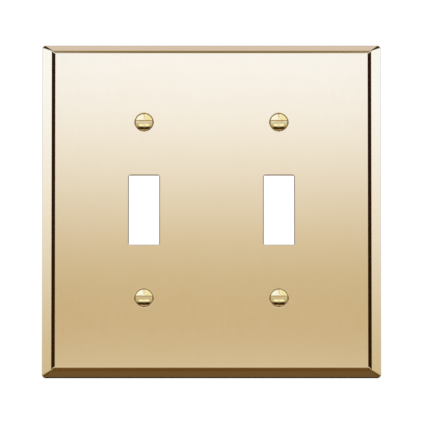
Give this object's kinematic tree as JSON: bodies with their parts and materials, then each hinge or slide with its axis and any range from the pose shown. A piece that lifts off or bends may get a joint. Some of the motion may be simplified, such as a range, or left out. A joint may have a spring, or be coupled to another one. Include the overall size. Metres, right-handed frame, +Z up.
{
  "type": "toggle switch wall plate",
  "caption": "Square bevelled wall plate of polished brass with side-by-side toggle openings, covering wall switches and held on by captive slotted oval-head screws.",
  "frame": {"origin": "centre of the plane where the plate's rim meets the wall", "axes": "+Z up, +X to the viewer's right, +Y into the wall; the front face looks along -Y"},
  "size_m": [0.116, 0.0136, 0.1142],
  "materials": {
    "polished_brass_plate": "mirror polished and clear lacquered",
    "brass_screw": "bright, fine turned",
    "fibre_washer": "matt vulcanised fibre"
  },
  "bodies": {
    "plate": {"face_plate": "polished_brass_plate"},
    "upper_left_retainer": {"upper_left_washer": "fibre_washer"},
    "upper_left_fastener": {"upper_left_screw": "brass_screw"},
    "upper_right_retainer": {"upper_right_washer": "fibre_washer"},
    "upper_right_fastener": {"upper_right_screw": "brass_screw"},
    "lower_left_retainer": {"lower_left_washer": "fibre_washer"},
    "lower_left_fastener": {"lower_left_screw": "brass_screw"},
    "lower_right_retainer": {"lower_right_washer": "fibre_washer"},
    "lower_right_fastener": {"lower_right_screw": "brass_screw"}
  },
  "joints": [
    {"name": "upper_left_slide", "type": "slide", "parent": "plate", "child": "upper_left_retainer", "axis": [0, -1, 0], "range_m": [0, 0.003]},
    {"name": "upper_left_turn", "type": "hinge", "parent": "upper_left_retainer", "child": "upper_left_fastener", "pos_m": [-0.02302, 0, 0.03016], "axis": [0, -1, 0], "continuous": true},
    {"name": "upper_right_slide", "type": "slide", "parent": "plate", "child": "upper_right_retainer", "axis": [0, -1, 0], "range_m": [0, 0.003]},
    {"name": "upper_right_turn", "type": "hinge", "parent": "upper_right_retainer", "child": "upper_right_fastener", "pos_m": [0.02302, 0, 0.03016], "axis": [0, -1, 0], "continuous": true},
    {"name": "lower_left_slide", "type": "slide", "parent": "plate", "child": "lower_left_retainer", "axis": [0, -1, 0], "range_m": [0, 0.003]},
    {"name": "lower_left_turn", "type": "hinge", "parent": "lower_left_retainer", "child": "lower_left_fastener", "pos_m": [-0.02302, 0, -0.03016], "axis": [0, -1, 0], "continuous": true},
    {"name": "lower_right_slide", "type": "slide", "parent": "plate", "child": "lower_right_retainer", "axis": [0, -1, 0], "range_m": [0, 0.003]},
    {"name": "lower_right_turn", "type": "hinge", "parent": "lower_right_retainer", "child": "lower_right_fastener", "pos_m": [0.02302, 0, -0.03016], "axis": [0, -1, 0], "continuous": true}
  ]
}
